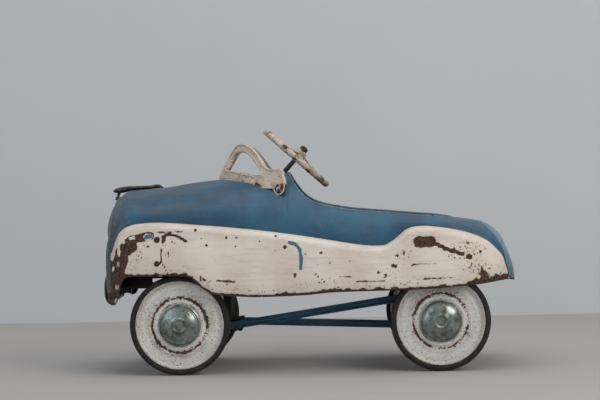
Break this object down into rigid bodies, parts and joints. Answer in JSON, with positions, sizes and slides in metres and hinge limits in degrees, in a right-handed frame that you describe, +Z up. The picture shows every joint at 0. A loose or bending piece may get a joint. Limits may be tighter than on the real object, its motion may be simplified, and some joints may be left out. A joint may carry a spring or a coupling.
{
  "type": "pedal car",
  "caption": "Child's pressed-steel pedal car with working steering, a cranked rear axle, hanging pedals, disc wheels with solid tyres and a windshield frame.",
  "frame": {"origin": "on the ground, under the middle of the car", "axes": "+Z up, -X towards the nose, -Y towards the car's left side"},
  "size_m": [0.8527, 0.4168, 0.4985],
  "materials": {
    "body_enamel": "blue and cream enamel on pressed steel, chipped to rust",
    "trim_enamel": "cream enamel worn to brown metal",
    "linkage_enamel": "blue enamel, worn",
    "wheel_enamel": "off-white enamel, rusted in rings",
    "dark_paint": "near-black paint, dull",
    "bare_steel": "old bare steel, dull and rusty",
    "cast_metal": "tarnished casting",
    "hubcap_steel": "dulled plated steel",
    "rubber": "old hard rubber",
    "bush_nylon": "greasy nylon"
  },
  "bodies": {
    "body": {"body_side_left": "body_enamel", "body_side_right": "body_enamel", "nose_panel": "body_enamel", "tail_panel": "body_enamel", "grille_bumper": "cast_metal", "seat_pan": "body_enamel", "seat_back": "body_enamel", "dash_panel": "dark_paint", "cross_member": "dark_paint", "hanger_bracket_left": "dark_paint", "hanger_bracket_right": "dark_paint", "hanger_rod": "bare_steel", "front_cradle": "dark_paint", "front_rail": "dark_paint", "windshield_frame": "trim_enamel", "windshield_screw_left": "bare_steel", "windshield_screw_right": "bare_steel", "hood_ornament": "cast_metal", "ornament_stalk": "cast_metal", "column_grommet": "rubber", "front_axle_beam": "dark_paint", "rear_bracket_left": "dark_paint", "rear_bracket_right": "dark_paint", "rear_bearing_left": "bush_nylon", "rear_bearing_right": "bush_nylon", "fender_screw_upper_left": "bare_steel", "fender_screw_lower_left": "bare_steel", "fender_screw_upper_right": "bare_steel", "fender_screw_lower_right": "bare_steel"},
    "steering": {"steering_wheel": "trim_enamel", "steering_nut": "dark_paint", "steering_column": "dark_paint"},
    "tie_rod": {"tie_rod": "bare_steel"},
    "knuckle_left": {"knuckle_left": "bare_steel"},
    "knuckle_right": {"knuckle_right": "bare_steel"},
    "front_wheel_left": {"front_left_tyre": "rubber", "front_left_disc": "wheel_enamel", "front_left_hubcap": "hubcap_steel", "front_left_bush": "bush_nylon"},
    "front_wheel_right": {"front_right_tyre": "rubber", "front_right_disc": "wheel_enamel", "front_right_hubcap": "hubcap_steel", "front_right_bush": "bush_nylon"},
    "crank_axle": {"rear_axle": "bare_steel", "rear_right_tyre": "rubber", "rear_right_disc": "wheel_enamel", "rear_right_hubcap": "hubcap_steel", "rear_right_drive_hub": "bare_steel"},
    "rear_wheel_left": {"rear_left_tyre": "rubber", "rear_left_disc": "wheel_enamel", "rear_left_hubcap": "hubcap_steel", "rear_left_bush": "bush_nylon"},
    "pedal_bar_left": {"pedal_bar_left": "linkage_enamel"},
    "pedal_bar_right": {"pedal_bar_right": "linkage_enamel"},
    "pedal_hanger_left": {"pedal_hanger_left": "dark_paint", "pedal_spindle_left": "bare_steel"},
    "pedal_hanger_right": {"pedal_hanger_right": "dark_paint", "pedal_spindle_right": "bare_steel"},
    "pedal_left": {"pedal_left": "rubber"},
    "pedal_right": {"pedal_right": "rubber"}
  },
  "joints": [
    {"name": "steering_turn", "type": "hinge", "parent": "body", "child": "steering", "pos_m": [-0.0205, 0, 0.436], "axis": [0.6691, 0, 0.7431], "range_deg": [-35, 35]},
    {"name": "tie_rod_slide", "type": "slide", "parent": "body", "child": "tie_rod", "axis": [0, 1, 0], "range_m": [-0.016, 0.016]},
    {"name": "knuckle_left_turn", "type": "hinge", "parent": "body", "child": "knuckle_left", "pos_m": [-0.258, -0.145, 0.10113], "axis": [0, 0, 1], "range_deg": [-18, 18]},
    {"name": "knuckle_right_turn", "type": "hinge", "parent": "body", "child": "knuckle_right", "pos_m": [-0.258, 0.145, 0.10113], "axis": [0, 0, 1], "range_deg": [-18, 18]},
    {"name": "front_left_spin", "type": "hinge", "parent": "knuckle_left", "child": "front_wheel_left", "pos_m": [-0.258, -0.174, 0.10113], "axis": [0, 1, 0], "continuous": true},
    {"name": "front_right_spin", "type": "hinge", "parent": "knuckle_right", "child": "front_wheel_right", "pos_m": [-0.258, 0.174, 0.10113], "axis": [0, 1, 0], "continuous": true},
    {"name": "crank_axle_spin", "type": "hinge", "parent": "body", "child": "crank_axle", "pos_m": [0.268, 0, 0.10113], "axis": [0, 1, 0], "continuous": true},
    {"name": "rear_left_spin", "type": "hinge", "parent": "crank_axle", "child": "rear_wheel_left", "pos_m": [0.268, -0.174, 0.10113], "axis": [0, 1, 0], "continuous": true},
    {"name": "pedal_bar_left_turn", "type": "hinge", "parent": "crank_axle", "child": "pedal_bar_left", "pos_m": [0.268, -0.075, 0.14113], "axis": [0, 1, 0], "continuous": true},
    {"name": "pedal_bar_right_turn", "type": "hinge", "parent": "crank_axle", "child": "pedal_bar_right", "pos_m": [0.268, 0.075, 0.06113], "axis": [0, 1, 0], "continuous": true},
    {"name": "pedal_hanger_left_swing", "type": "hinge", "parent": "body", "child": "pedal_hanger_left", "pos_m": [-0.16797, -0.06525, 0.252], "axis": [0, 1, 0], "range_deg": [-15, 15]},
    {"name": "pedal_hanger_right_swing", "type": "hinge", "parent": "body", "child": "pedal_hanger_right", "pos_m": [-0.16797, 0.06525, 0.252], "axis": [0, 1, 0], "range_deg": [-15, 15]},
    {"name": "pedal_left_spin", "type": "hinge", "parent": "pedal_hanger_left", "child": "pedal_left", "pos_m": [-0.16797, -0.04, 0.09], "axis": [0, 1, 0], "continuous": true},
    {"name": "pedal_right_spin", "type": "hinge", "parent": "pedal_hanger_right", "child": "pedal_right", "pos_m": [-0.16797, 0.04, 0.09], "axis": [0, 1, 0], "continuous": true}
  ],
  "couplings": [
    {"joint": "tie_rod_slide", "follows": "steering_turn", "m_per_rad": 0.023096},
    {"joint": "knuckle_left_turn", "follows": "steering_turn", "ratio": 0.46828},
    {"joint": "knuckle_right_turn", "follows": "steering_turn", "ratio": 0.46828},
    {"joint": "pedal_bar_left_turn", "follows": "crank_axle_spin", "ratio": -1},
    {"joint": "pedal_bar_right_turn", "follows": "crank_axle_spin", "ratio": -1}
  ]
}
